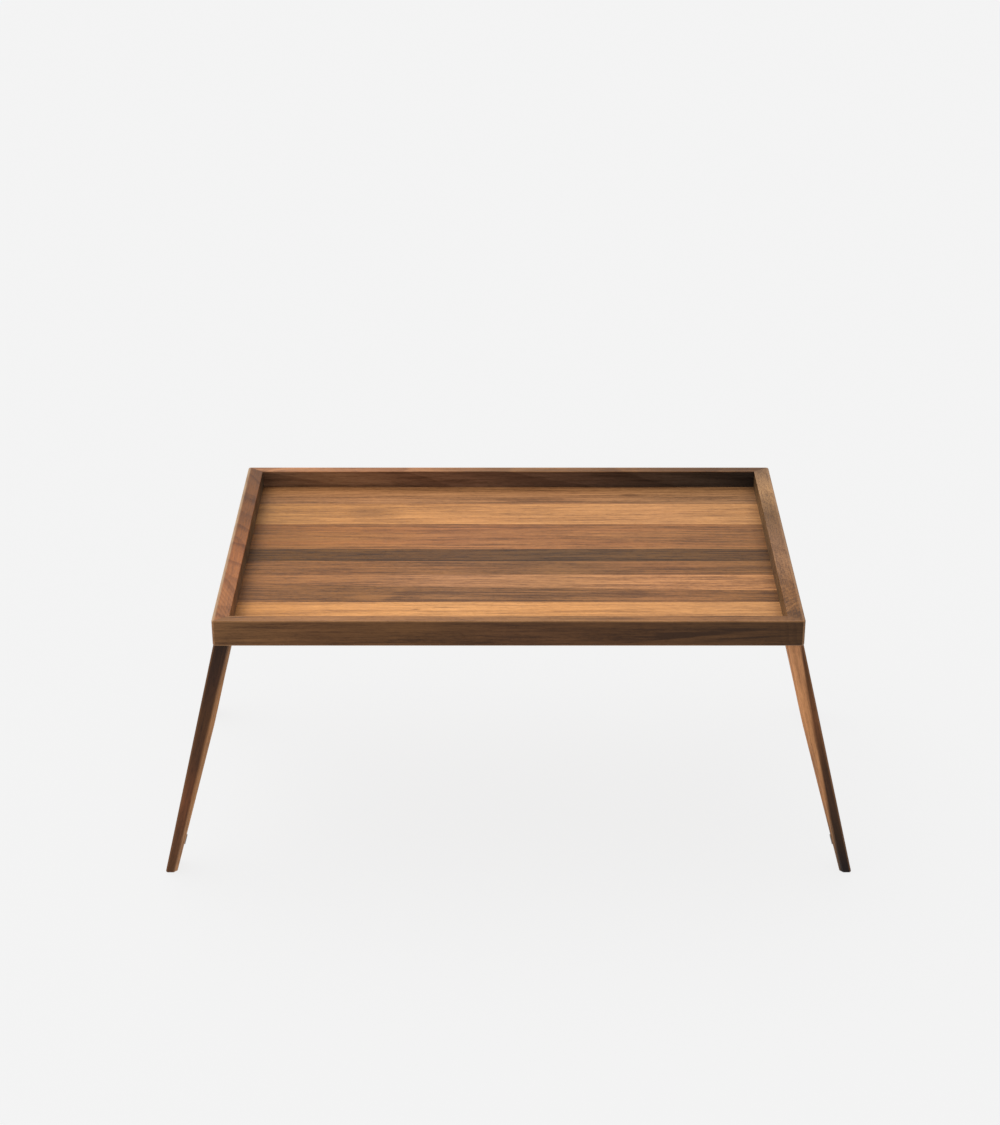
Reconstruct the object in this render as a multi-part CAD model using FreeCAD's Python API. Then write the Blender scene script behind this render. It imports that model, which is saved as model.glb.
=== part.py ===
"""Folding tray table: a walnut tray on two splayed leg frames that fold up beneath it.

Frame: +X to the right, +Y to the back, +Z up. The origin is on the floor, under the middle
of the tray. Lengths are in millimetres. Every piece of the right-hand end is modelled, and
the left-hand end is its mirror image.
"""
import FreeCAD, Part
import math
import os

from FreeCAD import Vector

# Tray
TRAY_LENGTH = 550.0
TRAY_WIDTH = 350.0
TABLE_HEIGHT = 286.0
RIM_HEIGHT = 26.5
END_RAIL = 16.0
LONG_RAIL = 11.0
RECESS_DEPTH = 18.0
FLOOR_THICKNESS = 5.5
TONGUE_SHOULDER = 1.0
GROOVE_DEPTH = 5.0
GROOVE_SLACK = 0.5
CORNER_RADIUS = 2.5
TOP_EDGE_RADIUS = 1.0
BOTTOM_EDGE_RADIUS = 2.0
INNER_EDGE_RADIUS = 0.8

# Joints between the floor staves, from back to front: Y at the left end and at the right end
STAVE_JOINTS = [
    (122.0, 122.0),
    (72.0, 72.0),
    (14.0, 14.0),
    (-13.0, -13.0),
    (-43.0, -43.0),
    (-64.0, -77.0),
    (-101.0, -101.0),
]

# Loose tongues across the mitred corners
SPLINE_THICKNESS = 3.0
SPLINE_WIDTH = 8.0
SPLINE_HEIGHT = 13.0
SPLINE_COVER = 2.5

# Leg frames
SPLAY_DEG = 13.5
FRAME_INSET = 11.5
TOP_GAP = 0.4
LEG_THICKNESS = 16.5
FOOT_THICKNESS = 11.0
LEG_WIDTH = 38.0
FOOT_WIDTH = 24.0
STRAIGHT_LENGTH = 95.0
LEG_BEVEL = 3.5
LEG_EDGE_RADIUS = 1.2
FOOT_RADIUS = 2.5
CROSSBAR_HEIGHT = 60.0
CROSSBAR_THICKNESS = 14.0
DOWEL_RADIUS = 4.0
DOWEL_LENGTH = 40.0
DOWEL_HEIGHTS = (240.0, 213.0)
BUMPER_RADIUS = 5.0
BUMPER_HEIGHT = 1.0
BUMPER_EDGE_RADIUS = 0.4
BUMPER_CENTRE_HEIGHT = 31.0

# Butt hinges
HINGE_LENGTH = 40.0
HINGE_SPACING = 190.0
HINGE_INSET = 3.0
LEAF_REACH = 14.0
LEAF_THICKNESS = 1.2
BARREL_RADIUS = 2.6
BARREL_CLEARANCE = 0.4
KNUCKLE_LENGTH = 13.0
KNUCKLE_GAP = 0.35
PIN_RADIUS = 1.2
PIN_CLEARANCE = 0.05
PIN_HEAD_RADIUS = 1.9
PIN_HEAD_LENGTH = 0.8
PIN_HEAD_EDGE = 0.3

# Countersunk screws
SCREW_HEAD_RADIUS = 2.5
SCREW_RADIUS = 1.25
SCREW_LENGTH = 10.0
SCREW_POINT = 2.5
SCREW_REACH = 10.5
SCREW_SPACING = 13.0
RECESS_SPAN = 2.8
RECESS_SLOT = 0.7
RECESS_CUT = 0.6

# Worked out from the sizes above
HALF_LENGTH = TRAY_LENGTH / 2
HALF_WIDTH = TRAY_WIDTH / 2
INNER_X = HALF_LENGTH - END_RAIL
INNER_Y = HALF_WIDTH - LONG_RAIL
RIM_BOTTOM = TABLE_HEIGHT - RIM_HEIGHT
FLOOR_TOP = TABLE_HEIGHT - RECESS_DEPTH
FLOOR_BOTTOM = FLOOR_TOP - FLOOR_THICKNESS
TONGUE_TOP = FLOOR_TOP - TONGUE_SHOULDER
LEG_TOP = RIM_BOTTOM - TOP_GAP
FRAME_Y = HALF_WIDTH - FRAME_INSET
CROSSBAR_Y = FRAME_Y - LEG_WIDTH
CROSSBAR_BOTTOM = LEG_TOP - CROSSBAR_HEIGHT
SPLAY = math.radians(SPLAY_DEG)
AXIS_X = INNER_X - HINGE_INSET
AXIS_Z = RIM_BOTTOM - TOP_GAP / 2
RELIEF_RADIUS = BARREL_RADIUS + BARREL_CLEARANCE
SCREW_X = AXIS_X + SCREW_REACH
HALF_HINGE = HINGE_LENGTH / 2
HINGE_YS = (-HINGE_SPACING / 2, HINGE_SPACING / 2)
SCREW_OFFSETS = (-SCREW_SPACING, 0, SCREW_SPACING)
SCREW_YS = [hinge_y + offset for hinge_y in HINGE_YS for offset in SCREW_OFFSETS]

# Modelling allowances: how far a cutting shape runs past what it cuts, and how close is equal
CUT_OVERRUN = 1.0
CLOSE = 1e-4
CENTRE_CLOSE = 1e-3

UP = Vector(0, 0, 1)
DOWN = Vector(0, 0, -1)
ALONG_Y = Vector(0, 1, 0)
MIRROR_X = Vector(1, 0, 0)
MIRROR_Y = Vector(0, 1, 0)
ORIGIN = Vector(0, 0, 0)


def box(x0, x1, y0, y1, z0, z1):
    """A box between two opposite corners."""
    return Part.makeBox(x1 - x0, y1 - y0, z1 - z0, Vector(x0, y0, z0))


def prism(points, direction):
    """A closed outline of points, extruded along a vector."""
    return Part.Face(Part.makePolygon(points + points[:1])).extrude(direction)


def edges_where(shape, test):
    """The edges whose two ends and middle all pass a test of a point."""
    chosen = []
    for edge in shape.Edges:
        middle = edge.valueAt((edge.FirstParameter + edge.LastParameter) / 2)
        spots = [vertex.Point for vertex in edge.Vertexes] + [middle]
        if all(test(spot) for spot in spots):
            chosen.append(edge)
    return chosen


def near(value, target):
    return abs(value - target) < CLOSE


def mirrored(shape, normal):
    return shape.mirror(ORIGIN, normal)


# ---------------------------------------------------------------- tray

def rim_blank():
    """The whole rim in one piece, with its eased edges and the groove for the floor."""
    blank = box(-HALF_LENGTH, HALF_LENGTH, -HALF_WIDTH, HALF_WIDTH, RIM_BOTTOM, TABLE_HEIGHT)
    corners = edges_where(blank, lambda p: near(abs(p.x), HALF_LENGTH) and near(abs(p.y), HALF_WIDTH))
    blank = blank.makeFillet(CORNER_RADIUS, corners)
    blank = blank.makeFillet(TOP_EDGE_RADIUS, edges_where(blank, lambda p: near(p.z, TABLE_HEIGHT)))
    blank = blank.makeFillet(BOTTOM_EDGE_RADIUS, edges_where(blank, lambda p: near(p.z, RIM_BOTTOM)))
    opening = box(
        -INNER_X, INNER_X, -INNER_Y, INNER_Y, RIM_BOTTOM - CUT_OVERRUN, TABLE_HEIGHT + CUT_OVERRUN
    )
    blank = blank.cut(opening)
    groove_x = INNER_X + GROOVE_DEPTH
    groove_y = INNER_Y + GROOVE_DEPTH
    return blank.cut(box(-groove_x, groove_x, -groove_y, groove_y, FLOOR_BOTTOM, TONGUE_TOP))


def mitre_wedge(long_side):
    """The wedge of space that holds the front rail, or the right rail, between two mitres."""
    def on_mitre(corner, rails_outward):
        x = HALF_LENGTH + rails_outward * END_RAIL
        y = HALF_WIDTH + rails_outward * LONG_RAIL
        return Vector(corner[0] * x, corner[1] * y, RIM_BOTTOM - CUT_OVERRUN)

    first = (-1, -1) if long_side else (1, 1)
    last = (1, -1)
    outline = [on_mitre(first, 1), on_mitre(last, 1), on_mitre(last, -2), on_mitre(first, -2)]
    return prism(outline, Vector(0, 0, RIM_HEIGHT + 2 * CUT_OVERRUN))


def mitred_rail(blank, long_side):
    """The front rail, or the right rail, with its inner top edge eased."""
    def on_inner_top(p):
        at_opening = near(abs(p.y), INNER_Y) if long_side else near(abs(p.x), INNER_X)
        return at_opening and near(p.z, TABLE_HEIGHT)

    rail = blank.common(mitre_wedge(long_side))
    return rail.makeFillet(INNER_EDGE_RADIUS, edges_where(rail, on_inner_top))


def corner_spline(sign_x, sign_y):
    """An upright loose tongue that crosses one mitre, hidden inside the corner."""
    top = TABLE_HEIGHT - SPLINE_COVER
    tongue = box(
        -SPLINE_THICKNESS / 2, SPLINE_THICKNESS / 2, -SPLINE_WIDTH / 2, SPLINE_WIDTH / 2,
        top - SPLINE_HEIGHT, top,
    )
    mitre_angle = math.degrees(math.atan2(sign_y * LONG_RAIL, sign_x * END_RAIL))
    tongue.rotate(ORIGIN, UP, mitre_angle)
    tongue.translate(Vector(sign_x * (INNER_X + END_RAIL / 2), sign_y * (INNER_Y + LONG_RAIL / 2), 0))
    return tongue


def floor_stave(number):
    """One lengthwise board of the floor, with a shouldered tongue where it meets a rail."""
    reach_x = INNER_X + GROOVE_DEPTH - GROOVE_SLACK
    reach_y = INNER_Y + GROOVE_DEPTH - GROOVE_SLACK
    joints = [(reach_y, reach_y)] + STAVE_JOINTS + [(-reach_y, -reach_y)]
    back_left, back_right = joints[number - 1]
    front_left, front_right = joints[number]
    outline = [
        Vector(-reach_x, front_left, FLOOR_BOTTOM),
        Vector(reach_x, front_right, FLOOR_BOTTOM),
        Vector(reach_x, back_right, FLOOR_BOTTOM),
        Vector(-reach_x, back_left, FLOOR_BOTTOM),
    ]
    tongued = prism(outline, Vector(0, 0, TONGUE_TOP - FLOOR_BOTTOM))
    board = prism(outline, Vector(0, 0, FLOOR_THICKNESS))
    board = board.common(box(-INNER_X, INNER_X, -INNER_Y, INNER_Y, FLOOR_BOTTOM, FLOOR_TOP))
    return board.fuse(tongued).removeSplitter()


# ---------------------------------------------------------------- leg frame, right-hand end

def outer_x(z):
    """X of the leg's outer face at a height."""
    return HALF_LENGTH + (LEG_TOP - z) * math.tan(SPLAY)


def inner_x(z, thickness):
    """X of a face that lies a thickness inside the leg's outer face."""
    return outer_x(z) - thickness / math.cos(SPLAY)


KINK_Z = LEG_TOP - STRAIGHT_LENGTH * math.cos(SPLAY)
TAPER_TOP = Vector(inner_x(KINK_Z, LEG_THICKNESS), 0, KINK_Z)
TAPER_FOOT = Vector(inner_x(0, FOOT_THICKNESS), 0, 0)


def taper_point(z):
    """The point at a height on the leg's tapered inner face."""
    share = (TAPER_TOP.z - z) / TAPER_TOP.z
    return TAPER_TOP + (TAPER_FOOT - TAPER_TOP) * share


def on_outer_face(p):
    return near(p.x, outer_x(p.z))


def long_edges(shape, test):
    """The edges that run down the leg and whose middle passes a test."""
    chosen = []
    for edge in shape.Edges:
        middle = edge.valueAt((edge.FirstParameter + edge.LastParameter) / 2)
        if edge.BoundBox.ZLength > STRAIGHT_LENGTH / 2 and test(middle):
            chosen.append(edge)
    return chosen


def front_leg():
    """A leg with its foot cut level: straight below the hinge, then tapered both ways."""
    side = [
        Vector(outer_x(LEG_TOP), -FRAME_Y, LEG_TOP),
        Vector(outer_x(0), -FRAME_Y, 0),
        Vector(TAPER_FOOT.x, -FRAME_Y, 0),
        Vector(TAPER_TOP.x, -FRAME_Y, KINK_Z),
        Vector(inner_x(LEG_TOP, LEG_THICKNESS), -FRAME_Y, LEG_TOP),
    ]
    blank = prism(side, Vector(0, LEG_WIDTH, 0))
    near_x = inner_x(LEG_TOP, LEG_THICKNESS) - CUT_OVERRUN
    waste = [
        Vector(near_x, -CROSSBAR_Y, CROSSBAR_BOTTOM),
        Vector(near_x, FOOT_WIDTH - FRAME_Y, 0),
        Vector(near_x, -CROSSBAR_Y, 0),
    ]
    blank = blank.cut(prism(waste, Vector(outer_x(0) - near_x + CUT_OVERRUN, 0, 0)))

    bevelled = long_edges(blank, lambda p: not on_outer_face(p) and near(p.y, -FRAME_Y))
    blank = blank.makeChamfer(LEG_BEVEL, bevelled)
    blank = blank.makeFillet(FOOT_RADIUS, edges_where(blank, lambda p: near(p.z, 0)))
    inner_side_y = FOOT_WIDTH - FRAME_Y - CLOSE
    rounded = long_edges(blank, lambda p: on_outer_face(p) or p.y > inner_side_y)
    return blank.makeFillet(LEG_EDGE_RADIUS, rounded)


def crossbar():
    """The bar that joins the two legs under the tray's end; its top is bevelled level."""
    side = [
        Vector(inner_x(LEG_TOP, LEG_THICKNESS), -CROSSBAR_Y, LEG_TOP),
        Vector(inner_x(LEG_TOP, LEG_THICKNESS - CROSSBAR_THICKNESS), -CROSSBAR_Y, LEG_TOP),
        Vector(inner_x(CROSSBAR_BOTTOM, LEG_THICKNESS - CROSSBAR_THICKNESS), -CROSSBAR_Y, CROSSBAR_BOTTOM),
        Vector(inner_x(CROSSBAR_BOTTOM, LEG_THICKNESS), -CROSSBAR_Y, CROSSBAR_BOTTOM),
    ]
    bar = prism(side, Vector(0, 2 * CROSSBAR_Y, 0))
    level = edges_where(bar, lambda p: near(p.z, CROSSBAR_BOTTOM))
    return bar.makeFillet(LEG_EDGE_RADIUS, [edge for edge in level if edge.Length > CROSSBAR_Y])


def frame_dowels():
    """Two dowels at each end of the crossbar, half in the bar and half in the leg."""
    dowels = []
    for z in DOWEL_HEIGHTS:
        x = inner_x(z, LEG_THICKNESS - CROSSBAR_THICKNESS / 2)
        for joint_y in (-CROSSBAR_Y, CROSSBAR_Y):
            start = Vector(x, joint_y - DOWEL_LENGTH / 2, z)
            dowels.append(Part.makeCylinder(DOWEL_RADIUS, DOWEL_LENGTH, start, ALONG_Y))
    return dowels


def bumper():
    """A soft disc on a front leg's inner face, near the foot."""
    taper = TAPER_FOOT - TAPER_TOP
    outward = Vector(taper.z, 0, -taper.x).normalize()
    centre = taper_point(BUMPER_CENTRE_HEIGHT)
    centre.y = -FRAME_Y + (LEG_BEVEL + FOOT_WIDTH) / 2
    disc = Part.makeCylinder(BUMPER_RADIUS, BUMPER_HEIGHT, centre, outward)
    face_centre = centre + outward * BUMPER_HEIGHT
    rim = [edge for edge in disc.Edges if (edge.CenterOfMass - face_centre).Length < CENTRE_CLOSE]
    return disc.makeFillet(BUMPER_EDGE_RADIUS, rim)


# ---------------------------------------------------------------- hinges, right-hand end

def barrel(radius, y_from, y_to):
    """A cylinder about the hinge axis, placed along Y from the hinge's middle."""
    return Part.makeCylinder(radius, y_to - y_from, Vector(AXIS_X, y_from, AXIS_Z), ALONG_Y)


def screw(y, direction):
    """A countersunk wood screw, head flush with the face of its leaf."""
    if direction.z > 0:
        base = Vector(SCREW_X, y, RIM_BOTTOM)
    else:
        base = Vector(SCREW_X, y, LEG_TOP)
    head = Part.makeCone(SCREW_HEAD_RADIUS, SCREW_RADIUS, LEAF_THICKNESS, base, direction)
    neck = base + direction * LEAF_THICKNESS
    straight = SCREW_LENGTH - LEAF_THICKNESS - SCREW_POINT
    shank = Part.makeCylinder(SCREW_RADIUS, straight, neck, direction)
    point = Part.makeCone(SCREW_RADIUS, 0, SCREW_POINT, neck + direction * straight, direction)
    return head.fuse([shank, point]).removeSplitter()


def driven_screw(y, direction):
    """The screw with the crossed driver recess cut in its head."""
    level = RIM_BOTTOM if direction.z > 0 else LEG_TOP
    low = level - RECESS_CUT
    high = level + RECESS_CUT
    whole = screw(y, direction)
    for half_x, half_y in ((RECESS_SPAN / 2, RECESS_SLOT / 2), (RECESS_SLOT / 2, RECESS_SPAN / 2)):
        whole = whole.cut(box(SCREW_X - half_x, SCREW_X + half_x, y - half_y, y + half_y, low, high))
    return whole


def tray_leaf():
    """The leaf let into the rail's underside, with the two outer knuckles, about Y = 0."""
    plate = box(AXIS_X, AXIS_X + LEAF_REACH, -HALF_HINGE, HALF_HINGE, RIM_BOTTOM,
                RIM_BOTTOM + LEAF_THICKNESS)
    middle = HALF_HINGE - KNUCKLE_LENGTH
    plate = plate.cut(barrel(RELIEF_RADIUS, -middle, middle))
    knuckles = [barrel(BARREL_RADIUS, -HALF_HINGE, -middle), barrel(BARREL_RADIUS, middle, HALF_HINGE)]
    leaf = plate.fuse(knuckles)
    leaf = leaf.cut(barrel(PIN_RADIUS + PIN_CLEARANCE, -HINGE_LENGTH, HINGE_LENGTH))
    return leaf.cut([screw(y, UP) for y in SCREW_OFFSETS])


def leg_leaf():
    """The leaf let into the crossbar's top, with the middle knuckle, about Y = 0."""
    plate = box(AXIS_X, AXIS_X + LEAF_REACH, -HALF_HINGE, HALF_HINGE, LEG_TOP - LEAF_THICKNESS, LEG_TOP)
    middle = HALF_HINGE - KNUCKLE_LENGTH - KNUCKLE_GAP
    plate = plate.cut(barrel(RELIEF_RADIUS, middle, HINGE_LENGTH))
    plate = plate.cut(barrel(RELIEF_RADIUS, -HINGE_LENGTH, -middle))
    leaf = plate.fuse(barrel(BARREL_RADIUS, -middle, middle))
    leaf = leaf.cut(barrel(PIN_RADIUS + PIN_CLEARANCE, -HINGE_LENGTH, HINGE_LENGTH))
    return leaf.cut([screw(y, DOWN) for y in SCREW_OFFSETS])


def hinge_pin():
    """The pin, with a small head against each outer knuckle, about Y = 0."""
    pin = barrel(PIN_RADIUS, -HALF_HINGE, HALF_HINGE)
    heads = []
    for start in (-HALF_HINGE - PIN_HEAD_LENGTH, HALF_HINGE):
        head = barrel(PIN_HEAD_RADIUS, start, start + PIN_HEAD_LENGTH)
        far_y = start if start < 0 else start + PIN_HEAD_LENGTH
        head = head.makeFillet(PIN_HEAD_EDGE, edges_where(head, lambda p: near(p.y, far_y)
                                                          and not near(p.z, AXIS_Z)))
        heads.append(head)
    return pin.fuse(heads).removeSplitter()


def at_hinges(shape):
    """The shape, made about Y = 0, placed at the front hinge and at the rear hinge."""
    placed = []
    for y in HINGE_YS:
        copy = shape.copy()
        copy.translate(Vector(0, y, 0))
        placed.append(copy)
    return placed


def leaf_mortise(z_low, z_high, x_from):
    return box(x_from, AXIS_X + LEAF_REACH, -HALF_HINGE, HALF_HINGE, z_low, z_high)


# ---------------------------------------------------------------- assembly

def right_end():
    """Every piece of the right-hand leg frame and its hinges, by name."""
    dowels = frame_dowels()
    head_reach = HALF_HINGE + PIN_HEAD_LENGTH + BARREL_CLEARANCE
    mortise = leaf_mortise(LEG_TOP - LEAF_THICKNESS, LEG_TOP + CUT_OVERRUN, AXIS_X)
    bar = crossbar().cut(at_hinges(mortise) + at_hinges(barrel(RELIEF_RADIUS, -head_reach, head_reach)))
    bar = bar.cut([screw(y, DOWN) for y in SCREW_YS] + dowels)
    leg = front_leg().cut(dowels)
    tray_leaves = at_hinges(tray_leaf())
    leg_leaves = at_hinges(leg_leaf())
    pins = at_hinges(hinge_pin())
    front_bumper = bumper()
    return {
        "front_leg": leg,
        "rear_leg": mirrored(leg, MIRROR_Y),
        "crossbar": bar,
        "frame_dowels": Part.makeCompound(dowels),
        "foot_bumpers": Part.makeCompound([front_bumper, mirrored(front_bumper, MIRROR_Y)]),
        "front_hinge_tray_leaf": tray_leaves[0],
        "rear_hinge_tray_leaf": tray_leaves[1],
        "front_hinge_leg_leaf": leg_leaves[0],
        "rear_hinge_leg_leaf": leg_leaves[1],
        "front_hinge_pin": pins[0],
        "rear_hinge_pin": pins[1],
        "tray_leaf_screws": Part.makeCompound([driven_screw(y, UP) for y in SCREW_YS]),
        "leg_leaf_screws": Part.makeCompound([driven_screw(y, DOWN) for y in SCREW_YS]),
    }


def tray():
    """The rim rails, the tongues in their corners and the floor staves, by name."""
    blank = rim_blank()
    signs = [(-1, -1), (1, -1), (1, 1), (-1, 1)]
    splines = [corner_spline(sign_x, sign_y) for sign_x, sign_y in signs]
    front = mitred_rail(blank, True).cut(splines)
    right = mitred_rail(blank, False).cut(splines)
    mortise = leaf_mortise(RIM_BOTTOM - CUT_OVERRUN, RIM_BOTTOM + LEAF_THICKNESS, INNER_X - CUT_OVERRUN)
    right = right.cut(at_hinges(mortise)).cut([screw(y, UP) for y in SCREW_YS])
    pieces = {
        "front_rail": front,
        "back_rail": mirrored(front, MIRROR_Y),
        "right_rail": right,
        "left_rail": mirrored(right, MIRROR_X),
        "corner_splines": Part.makeCompound(splines),
    }
    for number in range(1, len(STAVE_JOINTS) + 2):
        pieces["floor_stave_%d" % number] = floor_stave(number)
    return pieces


def main():
    pieces = tray()
    for name, shape in right_end().items():
        pieces["right_" + name] = shape
        pieces["left_" + name] = mirrored(shape, MIRROR_X)
    os.makedirs("parts", exist_ok=True)
    for name, shape in pieces.items():
        solids = shape.Solids
        whole = solids[0] if len(solids) == 1 else Part.makeCompound(solids)
        whole.exportStep("parts/%s.step" % name)
        print("%-32s %d solid(s) %10.2f mm3 valid %s" % (name, len(solids), whole.Volume, whole.isValid()))


main()
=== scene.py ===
"""Looks of the folding tray table: walnut boards, brass hinges, studio and camera.

Object coordinates are the row frame's, in metres. Each board's material turns them into its own
frame in millimetres: along the board, across it, and through it.
"""
import math

import bpy
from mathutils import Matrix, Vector


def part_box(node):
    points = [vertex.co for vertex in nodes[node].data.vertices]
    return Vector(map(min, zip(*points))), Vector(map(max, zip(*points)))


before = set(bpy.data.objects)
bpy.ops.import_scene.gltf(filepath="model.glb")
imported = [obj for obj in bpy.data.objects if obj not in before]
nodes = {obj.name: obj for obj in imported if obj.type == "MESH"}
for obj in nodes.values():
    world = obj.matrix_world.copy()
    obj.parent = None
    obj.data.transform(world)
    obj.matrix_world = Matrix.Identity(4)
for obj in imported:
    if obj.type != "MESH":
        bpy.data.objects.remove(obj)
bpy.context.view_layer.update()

MM = 1000.0
SPLAY = math.radians(13.5)
FLOOR_RADIANCE = 0.896

# How much light falls on a face and how much of it comes back as gloss, by where the face is
LIGHT = {
    "top": (1.17, 0.030),
    "front": (0.66, 0.010),
    "inner_back": (0.34, 0.002),
    "inner_left": (0.41, 0.006),
    "inner_right": (0.70, 0.010),
    "inner_front": (0.50, 0.008),
}


def linear(value):
    """A display value from 0 to 255 as linear light."""
    share = value / 255.0
    return share / 12.92 if share <= 0.04045 else ((share + 0.055) / 1.055) ** 2.4


def paint(tone, face="top"):
    """The surface colour that shows as a display tone on that face in this studio."""
    light, gloss = LIGHT[face]
    return tuple(max(0.003, (linear(value) - gloss) / light) for value in tone)


def even_stops(tones, face):
    """Ramp stops that run evenly through some tones."""
    last = max(1, len(tones) - 1)
    return [(index / last, paint(tone, face)) for index, tone in enumerate(tones)]


# ---------------------------------------------------------------- material graphs

class Number:
    """A number that a material works out at each point, usable in plain arithmetic."""

    def __init__(self, graph, socket):
        self.graph = graph
        self.socket = socket

    def __add__(self, other):
        return self.graph.math("ADD", self, other)

    def __sub__(self, other):
        return self.graph.math("SUBTRACT", self, other)

    def __rsub__(self, other):
        return self.graph.math("SUBTRACT", other, self)

    def __mul__(self, other):
        return self.graph.math("MULTIPLY", self, other)

    def __truediv__(self, other):
        return self.graph.math("DIVIDE", self, other)

    __radd__ = __add__


class Graph:
    """One material, built node by node."""

    def __init__(self, name):
        self.material = bpy.data.materials.new(name)
        self.material.use_nodes = True
        self.tree = self.material.node_tree
        self.shader = self.tree.nodes["Principled BSDF"]
        place = self.new("ShaderNodeTexCoord")
        self.position = place.outputs["Object"]

    def new(self, kind, **settings):
        node = self.tree.nodes.new(kind)
        for name, value in settings.items():
            setattr(node, name, value)
        return node

    def feed(self, target, value):
        if isinstance(value, Number):
            value = value.socket
        if isinstance(value, bpy.types.NodeSocket):
            self.tree.links.new(value, target)
        else:
            target.default_value = value

    def math(self, operation, *values, clamp=False):
        node = self.new("ShaderNodeMath", operation=operation, use_clamp=clamp)
        for target, value in zip(node.inputs, values):
            self.feed(target, value)
        return Number(self, node.outputs[0])

    def vector(self, operation, *values):
        node = self.new("ShaderNodeVectorMath", operation=operation)
        for target, value in zip(node.inputs, values):
            self.feed(target, value)
        return node

    def joined(self, numbers):
        """Three numbers as one vector."""
        node = self.new("ShaderNodeCombineXYZ")
        for target, number in zip(node.inputs, numbers):
            self.feed(target, number)
        return node.outputs[0]

    def step(self, value, low, high):
        """0 below low, 1 above high, smooth between; low may be the larger."""
        node = self.new("ShaderNodeMapRange", interpolation_type="SMOOTHSTEP")
        self.feed(node.inputs["Value"], value)
        self.feed(node.inputs["From Min"], low)
        self.feed(node.inputs["From Max"], high)
        return Number(self, node.outputs["Result"])

    def noise(self, place, size, seed, detail=2.0, roughness=0.55):
        """Smooth noise about 0, stretched to a size in mm along, across and through the board."""
        scale = [1.0 / length for length in size]
        shift = (seed * 7.31, seed * 3.17, seed * 5.73)
        sample = self.vector("MULTIPLY_ADD", place, scale, shift).outputs[0]
        node = self.new("ShaderNodeTexNoise")
        self.feed(node.inputs["Vector"], sample)
        node.inputs["Scale"].default_value = 1.0
        node.inputs["Detail"].default_value = detail
        node.inputs["Roughness"].default_value = roughness
        return Number(self, node.outputs["Fac"]) - 0.5

    def ramp(self, value, stops):
        node = self.new("ShaderNodeValToRGB")
        elements = node.color_ramp.elements
        while len(elements) < len(stops):
            elements.new(1.0)
        for element, (at, colour) in zip(elements, stops):
            element.position = at
            element.color = (*colour, 1.0)
        self.feed(node.inputs["Fac"], value)
        return node.outputs["Color"]

    def blend(self, share, first, second, mode="MIX"):
        node = self.new("ShaderNodeMix", data_type="RGBA", blend_type=mode)
        self.feed(node.inputs["Factor"], share)
        for name, value in (("A", first), ("B", second)):
            target = [s for s in node.inputs if s.name == name and s.type == "RGBA"][0]
            self.feed(target, value if isinstance(value, bpy.types.NodeSocket) else (*value, 1.0))
        return [s for s in node.outputs if s.type == "RGBA"][0]

    def bump(self, height, depth_mm):
        node = self.new("ShaderNodeBump")
        node.inputs["Strength"].default_value = 1.0
        node.inputs["Distance"].default_value = depth_mm / MM
        self.feed(node.inputs["Height"], height)
        self.feed(self.shader.inputs["Normal"], node.outputs["Normal"])

    def finish(self, colour, roughness, **constants):
        self.feed(self.shader.inputs["Base Color"], colour)
        self.feed(self.shader.inputs["Roughness"], roughness)
        for name, value in constants.items():
            self.shader.inputs[name.replace("_", " ")].default_value = value
        return self.material


def board_place(graph, origin, along, across, through):
    """The point in a board's own frame, in mm: the vector and its three numbers."""
    offset = graph.vector("SUBTRACT", graph.position, origin).outputs[0]
    numbers = []
    for axis in (along, across, through):
        scaled = [MM * value for value in axis]
        numbers.append(Number(graph, graph.vector("DOT_PRODUCT", offset, scaled).outputs["Value"]))
    return graph.joined(numbers), numbers


# ---------------------------------------------------------------- walnut

TRAY_LOW, TRAY_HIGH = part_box("front_rail")
RIM_TOP = TRAY_HIGH.z
RIM_HEIGHT = (TRAY_HIGH.z - TRAY_LOW.z) * MM
HALF_LENGTH = TRAY_HIGH.x * MM
HALF_WIDTH = -TRAY_LOW.y * MM
INNER_Y = -TRAY_HIGH.y * MM
INNER_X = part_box("right_rail")[0].x * MM

# Colours that multiply a board's own tones
DARK_STREAK = (0.50, 0.47, 0.47)
PALE_STREAK = (1.38, 1.42, 1.46)
EVEN = (1.0, 1.0, 1.0)
LATEWOOD_TINT = (0.42, 0.36, 0.34)
PORE_TINT = (0.45, 0.40, 0.38)
SEAM_TINT = (0.45, 0.40, 0.37)
# Tint of the painted shade on the floor staves beside the end rails
END_SHADE_TINT = (0.45, 0.42, 0.40)

PORE_STRENGTH = 0.38
SEAM_STRENGTH = 0.45
# How strong and how wide the painted shade beside the end rails is
END_SHADE_STRENGTH = 0.42
END_SHADE_WIDTH = 17.0
WOOD_RELIEF = 0.06

# Sizes in mm of what makes up the figure: along, across and through the board
BEND_SIZE = (240, 60, 60)
BROAD_SIZE = (340, 11, 16)
MEDIUM_SIZE = (170, 2.8, 5)
THIN_SIZE = (60, 1.9, 2.2)
FIBRE_SIZE = (11, 1.2, 0.9)
CLOUD_SIZE = (90, 28, 28)
PORE_SIZE = (5.0, 0.34, 0.34)
SPECKLE_SIZE = (2.0, 1.0, 1.0)
RAGGED_SIZE = (45, 1.2, 3)
TINT_SIZE = (210, 14, 14)


def spot(graph, u, v, centre, reach):
    """A soft patch: 1 at its centre in mm, falling to 0 at its reach."""
    du = (u - centre[0]) / reach[0]
    dv = (v - centre[1]) / reach[1]
    inside = graph.math("SUBTRACT", 1.0, du * du + dv * dv, clamp=True)
    return inside * inside


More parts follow.
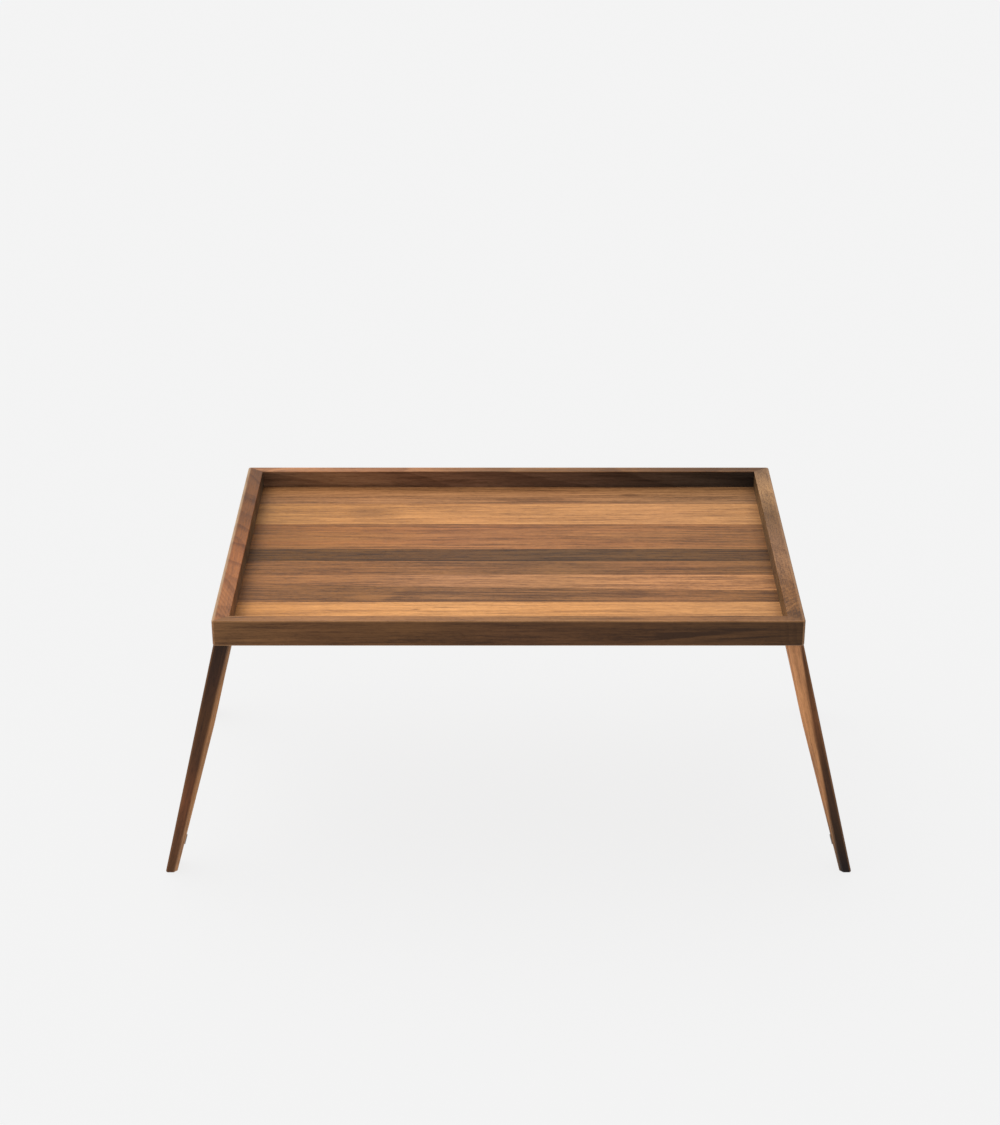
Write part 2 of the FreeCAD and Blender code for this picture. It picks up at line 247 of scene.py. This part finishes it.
def ring_lines(graph, place, local, rings, seed):
    """Dark latewood lines: lighter wood deepens towards a line, then starts again."""
    angle = math.radians(rings["angle"])
    wander = graph.noise(place, rings.get("wander_size", (60, 25, 25)), seed + 11, detail=1.0)
    second = local[rings.get("plane", 1)]
    reach = local[0] * math.sin(angle) + second * math.cos(angle)
    turn = reach / rings["spacing"] + wander * rings.get("wander", 1.2)
    phase = graph.math("FRACT", turn)
    rise = graph.step(phase, rings.get("start", 0.45), 0.93)
    return rise * graph.step(phase, 1.0, 0.95)


def grain(graph, place, u, v, w, board):
    """The streaks of a board as one number about 0, and its fibres and pores."""
    seed = board["seed"]
    strength = board.get("streaks", 1.0)
    bend = graph.noise(place, BEND_SIZE, seed + 1, detail=1.0) * board.get("bend", 9.0)
    shifted = v + bend + u * board.get("tilt", 0.0)
    lines = graph.joined((u, shifted, w))
    broad = graph.noise(lines, BROAD_SIZE, seed + 2)
    medium = graph.noise(lines, MEDIUM_SIZE, seed + 3, roughness=0.6)
    thin = graph.noise(lines, THIN_SIZE, seed + 4, detail=1.0)
    fibre = graph.noise(lines, FIBRE_SIZE, seed + 5, roughness=0.85)
    cloud = graph.noise(place, CLOUD_SIZE, seed + 6)
    pore_noise = graph.noise(lines, PORE_SIZE, seed + 7, detail=0.0)
    pores = graph.step(pore_noise, 0.17, 0.26)
    streaks = (broad * 0.9 + medium * 1.1 + thin * 1.35) * strength
    streaks = streaks + cloud * board.get("clouds", 0.35) + fibre * board.get("fibres", 1.5)
    second = w if board.get("marks_on_face") else v
    if "speckle" in board:
        speckle = graph.noise(place, SPECKLE_SIZE, seed + 10, detail=1.0)
        streaks = streaks + speckle * board["speckle"]
    for centre, reach, amount in board.get("spots", ()):
        streaks = streaks + spot(graph, u, second, centre, reach) * (thin * 3.0 + 1.0) * amount
    for centre, reach, amount, slope in board.get("lines", ()):
        marked = spot(graph, u, second - (u - centre[0]) * slope, centre, reach)
        ragged = graph.noise(lines, RAGGED_SIZE, seed + 8, detail=1.0)
        streaks = streaks + marked * (ragged * 1.4 + 0.9) * amount
    return streaks, fibre, pores, lines


def walnut(name, board, faces=None):
    """Oiled walnut for one board. faces(graph, local, share, colour) may recolour parts of it."""
    graph = Graph(name)
    place, (u, v, w) = board_place(graph, board["origin"], *board["axes"])
    streaks, fibre, pores, lines = grain(graph, place, u, v, w, board)
    share = graph.math("DIVIDE", u - board["from"], board["to"] - board["from"], clamp=True)
    colour = graph.ramp(share, even_stops(board["tones"], board.get("face", "top")))
    if faces:
        colour = faces(graph, (place, u, v, w), share, colour)
    tone = streaks * board.get("contrast", 1.0) + 0.5
    stops = [(0.08, DARK_STREAK), (0.5, EVEN), (0.92, PALE_STREAK)]
    colour = graph.blend(1.0, colour, graph.ramp(tone, stops), mode="MULTIPLY")
    if "tint" in board:
        drift = graph.noise(lines, TINT_SIZE, board["seed"] + 9, detail=1.0)
        amount = graph.step(drift, -0.12, 0.22) * board["tint"][1]
        colour = graph.blend(amount, colour, board["tint"][0], mode="MULTIPLY")
    for index, rings in enumerate(board.get("rings", ())):
        ringed = ring_lines(graph, place, (u, v, w), rings, board["seed"] + 2.2 * index)
        if "only" in rings:
            ringed = ringed * graph.step(u, *rings["only"])
        colour = graph.blend(ringed * rings["depth"], colour, LATEWOOD_TINT, mode="MULTIPLY")
    colour = graph.blend(pores * PORE_STRENGTH, colour, PORE_TINT, mode="MULTIPLY")
    if "edges" in board:
        colour = board["edges"](graph, (place, u, v, w), colour)
    graph.bump(fibre - pores * 0.8, WOOD_RELIEF)
    roughness = 0.50 + fibre * 0.22 + pores * 0.18 + streaks * 0.05
    return graph.finish(colour, roughness, Specular_IOR_Level=0.18)


# Axes of boards: along, across, through
LONG_AXES = ((1, 0, 0), (0, 1, 0), (0, 0, 1))
CROSS_AXES = ((0, 1, 0), (1, 0, 0), (0, 0, 1))

# Floor staves from back to front. Tones run from the left end to the right end. A spot is a centre,
# a reach and an amount, and a line also has a slope.
STAVES = {
    1: dict(tones=[(163, 118, 82), (170, 122, 85), (170, 123, 86), (168, 121, 85),
                   (163, 120, 85), (152, 113, 81)],
            contrast=0.95, clouds=0.3, bend=5,
            spots=[((-140, 146), (150, 9), 0.10)],
            lines=[((-60, 124.5), (210, 2.6), -0.50, 0.0), ((10, 133), (110, 7), -0.40, -0.03),
                   ((127, 144), (14, 4), -0.55, 0.0), ((190, 138), (90, 12), -0.22, 0.0),
                   ((40, 127), (120, 2.2), -0.40, 0.0)]),
    2: dict(tones=[(180, 130, 82), (192, 137, 88), (198, 142, 93), (197, 142, 94),
                   (196, 142, 96), (188, 138, 92)],
            contrast=0.75, clouds=0.45, bend=4, tint=((1.0, 0.95, 0.93), 0.4),
            spots=[((-138, 96), (40, 26), -0.22), ((-88, 90), (44, 18), 0.20), ((177, 100), (70, 14), 0.10)],
            lines=[((176, 78), (80, 2.2), -0.30, 0.0), ((60, 82), (60, 1.6), -0.15, 0.0)]),
    3: dict(tones=[(143, 99, 64), (162, 112, 72), (165, 114, 78), (165, 115, 78),
                   (161, 114, 77), (148, 106, 72)],
            contrast=0.95, clouds=0.4, bend=6, tint=((1.03, 0.94, 0.93), 0.7),
            spots=[((-200, 33), (90, 16), 0.16), ((0, 21), (110, 8), 0.12)],
            lines=[((15, 64), (130, 2.6), -0.50, -0.01), ((-190, 68), (90, 5), -0.25, 0.0),
                   ((190, 64), (90, 3), -0.32, 0.0), ((-40, 56), (90, 1.6), -0.30, -0.02)]),
    4: dict(tones=[(107, 77, 52), (112, 81, 56), (107, 79, 59), (108, 82, 61),
                   (113, 84, 60), (109, 80, 58)],
            contrast=1.5, clouds=0.4, bend=4, tint=((0.97, 0.96, 1.05), 0.7),
            lines=[((0, -11.5), (250, 1.8), -0.55, 0.0), ((-120, 3), (120, 2.0), 0.15, 0.0)]),
    5: dict(tones=[(148, 104, 69), (153, 106, 70), (147, 105, 73), (138, 100, 70),
                   (142, 100, 70), (138, 100, 68)],
            contrast=1.15, clouds=0.5, bend=6, tint=((1.03, 0.94, 0.94), 0.5),
            spots=[((-22, -30), (60, 16), -0.20), ((-230, -18), (60, 6), -0.15)]),
    6: dict(tones=[(156, 108, 71), (163, 114, 77), (174, 125, 89), (175, 126, 87),
                   (189, 134, 92), (187, 133, 89)],
            contrast=1.05, clouds=0.4, bend=5, tilt=0.012,
            lines=[((120, -66), (140, 2.4), -0.2, -0.01)]),
    7: dict(tones=[(140, 98, 67), (139, 98, 66), (145, 104, 73), (138, 99, 69),
                   (152, 107, 74), (137, 97, 65)],
            contrast=1.35, clouds=0.6, bend=4, tilt=0.022,
            spots=[((-132, -92), (26, 9), 0.26), ((-98, -88), (24, 12), -0.20),
                   ((-160, -76), (30, 12), -0.14), ((-205, -88), (50, 7), 0.10)],
            lines=[((-160, -65.5), (110, 1.6), -0.55, -0.01), ((90, -98), (200, 1.5), -0.60, -0.006),
                   ((90, -89), (200, 1.6), -0.50, -0.012), ((90, -83), (200, 2.0), -0.45, -0.018),
                   ((-230, -96), (60, 1.5), -0.35, 0.0)]),
    8: dict(tones=[(195, 137, 84), (212, 151, 96), (213, 154, 100), (209, 149, 95),
                   (208, 150, 98), (199, 145, 96)],
            contrast=0.65, clouds=0.4, bend=7,
            lines=[((-88, -117), (7, 2.0), -0.9, 0.0), ((-60, -113), (30, 1.4), -0.4, 0.0),
                   ((120, -120), (120, 1.6), -0.25, 0.0)]),
}


def painted_end_shade(graph, local, colour):
    """Painted shade: the floor darkens in a narrow band beside the end rails."""
    beside = graph.step(graph.math("ABSOLUTE", local[1]), INNER_X - END_SHADE_WIDTH, INNER_X)
    return graph.blend(beside * END_SHADE_STRENGTH, colour, END_SHADE_TINT, mode="MULTIPLY")


def seam_edges(low_y, high_y):
    """Darker wood within a fraction of a millimetre of a stave's two long joints."""
    def edges(graph, local, colour):
        v = local[2]
        seam = graph.step(v, low_y + 0.9, low_y + 0.1) + graph.step(v, high_y - 0.9, high_y - 0.1)
        colour = graph.blend(seam * SEAM_STRENGTH, colour, SEAM_TINT, mode="MULTIPLY")
        # Then the painted shade beside the end rails
        return painted_end_shade(graph, local, colour)
    return edges


def stave_board(number):
    low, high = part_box("floor_stave_%d" % number)
    board = dict(STAVES[number])
    board.update(origin=(0.0, 0.0, high.z), axes=LONG_AXES, seed=20.0 + 1.7 * number)
    board["from"] = low.x * MM
    board["to"] = high.x * MM
    slanted = number in (6, 7)
    # Every stave gets the painted shade beside the end rails; all but the slanted ones also get dark seams
    board["edges"] = painted_end_shade if slanted else seam_edges(low.y * MM, high.y * MM)
    return board


# ---------------------------------------------------------------- rails

def rail_faces(board):
    """Recolours the top face and the inner face of a rail; its outer face keeps its tones. The inner and
    outer faces are darker than the top, partly the board's own tone and partly painted shade.
    """
    outward = board["outward"]
    limit = board["inner_limit"]

    def faces(graph, local, share, colour):
        v, w = local[2], local[3]
        on_top = graph.step(w, -1.3, -0.5)
        top_tones = graph.ramp(share, even_stops(board["top"], "top"))
        inner_tones = graph.ramp(share, even_stops(board["inner"], board["inner_face"]))
        on_inner = graph.step(v * outward, limit + 0.5, limit + 0.15)
        colour = graph.blend(on_inner, colour, inner_tones)
        return graph.blend(on_top, colour, top_tones)
    return faces


def painted_edge_highlight(outward, outer_limit, amount, tone, corner):
    """Painted highlight: paler wood on the outer top edge of a rail, broken up along its length."""
    def edges(graph, local, colour):
        place, u, v, w = local
        near_top = graph.step(w, -2.2, -0.6)
        near_side = graph.step(v * outward, outer_limit - 2.6, outer_limit - 0.6)
        broken = graph.noise(place, (22, 5, 5), 3.3, detail=2.0)
        pale_edge = graph.math("MULTIPLY", near_top * near_side, broken * 1.2 + 0.8, clamp=True)
        colour = graph.blend(pale_edge * amount, colour, paint(tone))
        # The pale strips along the outer face's bottom edge and ends are painted highlights too
        if corner:
            near_bottom = graph.step(w, -RIM_HEIGHT + 1.9, -RIM_HEIGHT + 0.7)
            near_end = graph.step(graph.math("ABSOLUTE", u), HALF_LENGTH - 1.9, HALF_LENGTH - 0.6)
            pale_edge = graph.math("MULTIPLY", near_side * (near_bottom + near_end), broken * 3.0 + 0.9,
                              clamp=True)
            colour = graph.blend(pale_edge * amount, colour, paint(tone, "front"))
        return colour
    return edges


RAILS = {
    "front_rail": dict(
        axes=LONG_AXES, outward=-1, seed=3.1, contrast=0.75, clouds=0.6, bend=6, face="front",
        tones=[(101, 72, 48), (89, 62, 42), (87, 61, 41), (83, 58, 41), (80, 56, 39), (76, 54, 38),
               (68, 49, 35)],
        top=[(150, 108, 75), (160, 115, 80), (164, 118, 81), (157, 114, 78), (160, 114, 78), (128, 94, 69)],
        inner=[(90, 62, 42), (80, 54, 38)], inner_face="inner_front", side_limit=HALF_WIDTH,
        marks_on_face=True, edge_highlight=(0.35, (176, 134, 98)), highlit_corner=True,
        lines=[((175, -13), (100, 4.2), -1.05, 0.085), ((150, -18), (60, 1.6), -0.7, 0.10),
               ((232, -17), (60, 2.0), -0.7, 0.05), ((60, -9), (90, 2.0), -0.35, -0.03),
               ((-120, -12), (110, 2.2), -0.30, 0.0)],
        rings=[dict(angle=72.0, plane=2, spacing=7.0, depth=0.28, wander=1.6, wander_size=(70, 16, 16),
                    start=0.25, only=(238, 262))]),
    "back_rail": dict(
        axes=LONG_AXES, outward=1, seed=7.9, contrast=0.8, clouds=0.45, bend=10, face="front",
        tones=[(112, 80, 53), (100, 70, 47), (92, 64, 43), (84, 58, 41)],
        top=[(190, 136, 98), (182, 129, 93), (150, 111, 80), (138, 101, 73), (124, 92, 68)],
        inner=[(72, 54, 41), (88, 65, 46), (80, 58, 43), (68, 50, 38), (56, 42, 33), (46, 37, 30),
               (34, 30, 27)],
        inner_face="inner_back", side_limit=HALF_WIDTH, edge_highlight=(0.2, (196, 150, 112)),
        spots=[((250, 178), (46, 60), -0.35)],
        rings=[dict(angle=13.0, plane=2, spacing=27.0, depth=0.45, wander=0.8, wander_size=(150, 40, 40),
                    start=0.15)]),
    "left_rail": dict(
        axes=CROSS_AXES, outward=-1, seed=12.4, contrast=0.85, clouds=0.7, bend=5, face="front",
        streaks=0.35, fibres=1.0, tones=[(120, 84, 60), (112, 79, 58), (96, 70, 54)],
        top=[(168, 115, 79), (171, 115, 78), (165, 107, 71), (144, 96, 64), (134, 91, 62), (125, 89, 66)],
        inner=[(108, 80, 57), (92, 70, 52), (79, 62, 46), (76, 60, 44), (75, 58, 43), (62, 54, 43)],
        inner_face="inner_left", side_limit=HALF_LENGTH, edge_highlight=(0.95, (192, 162, 130)),
        rings=[dict(angle=38.0, spacing=30.0, depth=0.55, wander=2.6, wander_size=(110, 90, 90), start=0.70),
               dict(angle=46.0, spacing=47.0, depth=0.35, wander=1.5, wander_size=(90, 60, 60), start=0.55),
               dict(angle=22.0, spacing=3.4, depth=0.34, wander=1.2, wander_size=(60, 24, 24), start=0.3,
                    only=(-70, -125))]),
    "right_rail": dict(
        axes=CROSS_AXES, outward=1, seed=16.6, contrast=0.8, clouds=0.5, bend=5, face="front", speckle=1.6,
        streaks=0.5, tones=[(108, 80, 56), (104, 78, 56), (110, 84, 62)],
        top=[(137, 100, 70), (141, 101, 69), (154, 115, 85), (135, 102, 78), (126, 96, 70), (171, 132, 95),
             (130, 102, 79)],
        inner=[(100, 75, 53), (100, 77, 52), (97, 74, 54), (92, 71, 50), (100, 77, 53), (76, 60, 44)],
        inner_face="inner_right", side_limit=HALF_LENGTH, edge_highlight=(0.6, (176, 140, 110)),
        spots=[((-160, 268), (13, 13), -0.45)],
        lines=[((-147, 264), (15, 1.6), 1.3, 0.6)],
        rings=[dict(angle=-52.0, spacing=6.0, depth=0.36, wander=1.8, wander_size=(50, 40, 40), start=0.35,
                    only=(-50, -125)),
               dict(angle=33.0, spacing=24.0, depth=0.26, wander=2.2, wander_size=(90, 60, 60), start=0.5)]),
}


def rail_material(name):
    board = dict(RAILS[name])
    low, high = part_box(name)
    along_y = board["axes"] is CROSS_AXES
    board["origin"] = (0.0, 0.0, RIM_TOP)
    board["from"] = (low.y if along_y else low.x) * MM
    board["to"] = (high.y if along_y else high.x) * MM
    board["inner_limit"] = INNER_X if along_y else INNER_Y
    # The pale strip along each rail's outer edges is a painted highlight
    amount, tone = board["edge_highlight"]
    corner = board.get("highlit_corner", False)
    board["edges"] = painted_edge_highlight(board["outward"], board["side_limit"], amount, tone, corner)
    return walnut("walnut_" + name, board, rail_faces(board))


# ---------------------------------------------------------------- leg frames

LEG_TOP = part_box("right_front_leg")[1].z
FRAME_Y = -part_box("right_front_leg")[0].y * MM
LEG_LENGTH = LEG_TOP / math.cos(SPLAY) * MM

# Tones from a leg's top to its foot: towards the outer face, towards the inner face, and on the outer face
# itself. On the left leg the first two run darker at its top, a painted shadow of the tray; on the right leg
# they run darker towards its foot.
HEARTWOOD_AND_SHADE = {
    "left": [(53, 39, 31), (58, 41, 33), (73, 50, 35), (76, 51, 37), (97, 61, 42), (86, 57, 40),
             (77, 52, 36)],
    "right": [(85, 55, 39), (80, 53, 35), (93, 60, 40), (68, 47, 34), (59, 42, 33), (50, 37, 29),
              (34, 28, 25)],
}
SAPWOOD_AND_SHADE = {
    "left": [(126, 93, 66), (140, 100, 67), (148, 105, 70), (146, 104, 69), (148, 105, 69),
             (160, 117, 80), (158, 114, 79)],
    "right": [(170, 120, 83), (170, 120, 82), (164, 115, 77), (155, 110, 75), (143, 100, 68),
              (125, 91, 63), (104, 79, 58)],
}
OUTER_FACE = {
    "left": [(74, 52, 38), (80, 56, 40), (92, 62, 43), (88, 59, 42)],
    "right": [(100, 67, 45), (98, 66, 45), (84, 59, 42), (66, 48, 36)],
}


def leg_axes(side):
    """The leg's frame: down the leg, across the frame, and in from its outer face."""
    sign = 1 if side == "right" else -1
    along = (sign * math.sin(SPLAY), 0.0, -math.cos(SPLAY))
    through = (-sign * math.cos(SPLAY), 0.0, -math.sin(SPLAY))
    return (along, (0.0, 1.0, 0.0), through)


def sapwood_border(graph, side, u):
    """How far below the outer face the sapwood starts, in mm, and half the width of the change."""
    if side == "left":
        return 13.6 - u * 0.0245, 1.9
    return graph.math("SQRT", graph.math("MAXIMUM", u, 0.0)) * 0.525 + 0.9, 1.5


def leg_material(side, end):
    """Heartwood towards the outer face and sapwood towards the inner one."""
    sign = 1 if side == "right" else -1
    board = dict(
        origin=(sign * HALF_LENGTH / MM, 0.0, LEG_TOP), axes=leg_axes(side), tones=HEARTWOOD_AND_SHADE[side],
        face="front", contrast=0.6, clouds=0.5, bend=3,
        seed={"front": 31.0, "rear": 37.5}[end] + sign,
    )
    board["from"] = 0.0
    board["to"] = LEG_LENGTH

    def faces(graph, local, share, colour):
        place, u, _, w = local
        wobble = graph.noise(place, (55, 60, 4), board["seed"] + 13, detail=1.0)
        border, soft = sapwood_border(graph, side, u)
        outer = graph.ramp(share, even_stops(OUTER_FACE[side], "front"))
        colour = graph.blend(graph.step(w, 0.9, 0.2), colour, outer)
        inside = graph.step(w + wobble * 1.6, border - soft, border + soft)
        pale = graph.ramp(share, even_stops(SAPWOOD_AND_SHADE[side], "front"))
        return graph.blend(inside, colour, pale)

    def edges(graph, local, colour):
        place, _, v, w = local
        near_face = graph.step(graph.math("ABSOLUTE", v), FRAME_Y - 1.3, FRAME_Y - 0.2)
        near_outside = graph.step(w, 1.3, 0.2)
        broken = graph.noise(place, (26, 6, 6), 5.1, detail=2.0)
        pale_edge = graph.math("MULTIPLY", near_face * near_outside, broken + 0.7, clamp=True)
        return graph.blend(pale_edge * 0.35, colour, paint((120, 86, 60), "front"))

    board["edges"] = edges
    return walnut("walnut_%s_%s_leg" % (side, end), board, faces)


def crossbar_material(side):
    sign = 1 if side == "right" else -1
    along, across, through = leg_axes(side)
    board = dict(
        origin=(sign * HALF_LENGTH / MM, 0.0, LEG_TOP), axes=(across, along, through), face="front",
        tones=[(98, 68, 46), (110, 76, 51), (104, 72, 49), (92, 64, 44)], contrast=1.1, clouds=0.6, bend=12,
        seed=43.0 + 2.5 * sign,
        rings=[dict(angle=6.0, spacing=9.0, depth=0.35, wander=1.8, wander_size=(140, 30, 30), start=0.5)],
    )
    board["from"] = -FRAME_Y
    board["to"] = FRAME_Y
    return walnut("walnut_%s_crossbar" % side, board)


# ---------------------------------------------------------------- other materials

ORIGIN = (0.0, 0.0, 0.0)
BEECH_STOPS = [(0.1, (0.46, 0.29, 0.16)), (0.5, (0.58, 0.39, 0.23)), (0.9, (0.68, 0.49, 0.31))]
BRASS_STOPS = [(0.12, (0.42, 0.26, 0.10)), (0.5, (0.66, 0.45, 0.19)), (0.9, (0.80, 0.60, 0.30))]
RUBBER_STOPS = [(0.1, (0.20, 0.19, 0.18)), (0.5, (0.30, 0.285, 0.27)), (0.9, (0.38, 0.36, 0.34))]


def beech_material():
    """Dry pale beech with short flecks, for the dowels and the corner tongues."""
    graph = Graph("beech")
    place, _ = board_place(graph, ORIGIN, *CROSS_AXES)
    long_streaks = graph.noise(place, (40, 1.2, 1.2), 1.0, detail=2.0)
    flecks = graph.step(graph.noise(place, (2.4, 0.3, 0.3), 2.0, detail=0.0), 0.12, 0.24)
    tone = long_streaks * 1.4 + 0.5
    colour = graph.ramp(tone, BEECH_STOPS)
    colour = graph.blend(flecks * 0.5, colour, (0.62, 0.50, 0.40), mode="MULTIPLY")
    graph.bump(long_streaks - flecks * 0.5, 0.05)
    return graph.finish(colour, 0.62 + long_streaks * 0.2, Specular_IOR_Level=0.3)


def brass_material(name, brushed):
    """Satin brass with fine brushing, cloudy tarnish and small browner spots."""
    graph = Graph(name)
    place, _ = board_place(graph, ORIGIN, *CROSS_AXES)
    brush = graph.noise(place, brushed, 1.5, detail=3.0, roughness=0.7)
    tarnish = graph.noise(place, (9, 9, 9), 4.5, detail=4.0, roughness=0.65)
    spots = graph.step(graph.noise(place, (1.6, 1.6, 1.6), 6.5, detail=2.0), 0.16, 0.3)
    tone = tarnish * 1.3 + brush * 0.4 + 0.5
    colour = graph.ramp(tone, BRASS_STOPS)
    colour = graph.blend(spots * 0.4, colour, (0.55, 0.42, 0.34), mode="MULTIPLY")
    graph.bump(brush * 0.7 - spots * 0.5, 0.03)
    roughness = 0.34 - tarnish * 0.35 + spots * 0.15 + brush * 0.1
    return graph.finish(colour, roughness, Metallic=1.0)


def rubber_material():
    """Soft grey bumper, slightly mottled and dusty."""
    graph = Graph("bumper_rubber")
    place, _ = board_place(graph, ORIGIN, *LONG_AXES)
    mottle = graph.noise(place, (2.5, 2.5, 2.5), 2.2, detail=4.0)
    pits = graph.noise(place, (0.35, 0.35, 0.35), 5.2, detail=2.0)
    tone = mottle * 1.2 + pits * 0.3 + 0.5
    colour = graph.ramp(tone, RUBBER_STOPS)
    graph.bump(pits + mottle * 0.4, 0.05)
    return graph.finish(colour, 0.68 + mottle * 0.25, Specular_IOR_Level=0.35)


def give(name, material):
    for place in nodes[name].material_slots:
        place.material = material


def assign_materials():
    hinge = brass_material("hinge_brass", (0.25, 14, 14))
    screw = brass_material("screw_brass", (2.0, 2.0, 2.0))
    beech = beech_material()
    rubber = rubber_material()
    for name in sorted(nodes):
        side, _, rest = name.partition("_")
        if name.startswith("floor_stave"):
            number = int(name.rsplit("_", 1)[1])
            give(name, walnut("walnut_stave_%d" % number, stave_board(number)))
        elif name in RAILS:
            give(name, rail_material(name))
        elif rest in ("front_leg", "rear_leg"):
            give(name, leg_material(side, rest.split("_")[0]))
        elif rest == "crossbar":
            give(name, crossbar_material(side))
        elif rest.endswith("screws"):
            give(name, screw)
        elif "hinge" in rest:
            give(name, hinge)
        elif rest == "foot_bumpers":
            give(name, rubber)
        else:
            give(name, beech)


# ---------------------------------------------------------------- studio

KEY_DIRECTION = (-0.40, 0.28, 0.87)
KEY_STRENGTH = 3.8
KEY_TIGHTNESS = 4.0
FILL = 0.55
FLOOR_SIZE = 120.0
FLOOR_DROP = 0.0003
FLOOR_GLOW = 0.925
PAPER = 0.055


def studio_floor():
    """A plain pale floor, lit evenly from within the paper so that shadows on it stay faint."""
    bpy.ops.mesh.primitive_plane_add(size=FLOOR_SIZE, location=(0, 0, -FLOOR_DROP))
    plane = bpy.context.object
    plane.name = "studio_floor"
    material = bpy.data.materials.new("studio_paper")
    material.use_nodes = True
    tree = material.node_tree
    shader = tree.nodes["Principled BSDF"]
    shader.inputs["Base Color"].default_value = (PAPER, PAPER, PAPER, 1.0)
    shader.inputs["Roughness"].default_value = 1.0
    shader.inputs["Specular IOR Level"].default_value = 0.0
    glow = FLOOR_RADIANCE * FLOOR_GLOW
    shader.inputs["Emission Color"].default_value = (glow, glow, glow, 1.0)
    shader.inputs["Emission Strength"].default_value = 1.0
    material.cycles.emission_sampling = "NONE"
    plane.data.materials.append(material)


def studio_light():
    """An even pale surround with one very large soft light above, to the left and behind."""
    world = bpy.data.worlds.new("studio")
    bpy.context.scene.world = world
    world.use_nodes = True
    tree = world.node_tree
    tree.nodes.clear()
    place = tree.nodes.new("ShaderNodeTexCoord")
    towards = tree.nodes.new("ShaderNodeVectorMath")
    towards.operation = "DOT_PRODUCT"
    towards.inputs[1].default_value = Vector(KEY_DIRECTION).normalized()
    tree.links.new(place.outputs["Generated"], towards.inputs[0])
    level = towards.outputs["Value"]
    for operation, amount in (("MAXIMUM", 0.0), ("POWER", KEY_TIGHTNESS), ("MULTIPLY", KEY_STRENGTH),
                              ("ADD", FILL)):
        node = tree.nodes.new("ShaderNodeMath")
        node.operation = operation
        node.inputs[1].default_value = amount
        tree.links.new(level, node.inputs[0])
        level = node.outputs[0]
    lamp = tree.nodes.new("ShaderNodeBackground")
    tree.links.new(level, lamp.inputs["Strength"])
    wall = tree.nodes.new("ShaderNodeBackground")
    wall.inputs["Color"].default_value = (1.0, 1.0, 1.0, 1.0)
    wall.inputs["Strength"].default_value = FLOOR_RADIANCE
    path = tree.nodes.new("ShaderNodeLightPath")
    either = tree.nodes.new("ShaderNodeMixShader")
    tree.links.new(path.outputs["Is Camera Ray"], either.inputs[0])
    tree.links.new(lamp.outputs[0], either.inputs[1])
    tree.links.new(wall.outputs[0], either.inputs[2])
    output = tree.nodes.new("ShaderNodeOutputWorld")
    tree.links.new(either.outputs[0], output.inputs["Surface"])


CAMERA_PLACE = (0.0, -2.083, 1.2895)
CAMERA_PITCH = math.radians(26.3)
LENS_LENGTH = 74.62
SENSOR_WIDTH = 36.0
LENS_SHIFT = -0.0075556


def studio_camera():
    """Looks down at the table from the front, its lens shifted a little sideways."""
    camera = bpy.data.objects.new("camera", bpy.data.cameras.new("camera"))
    bpy.context.scene.collection.objects.link(camera)
    camera.location = CAMERA_PLACE
    camera.rotation_euler = (math.pi / 2 - CAMERA_PITCH, 0.0, 0.0)
    camera.data.lens = LENS_LENGTH
    camera.data.sensor_width = SENSOR_WIDTH
    camera.data.shift_x = LENS_SHIFT
    bpy.context.scene.camera = camera


assign_materials()
studio_floor()
studio_light()
studio_camera()
bpy.context.scene.view_settings.view_transform = "Standard"
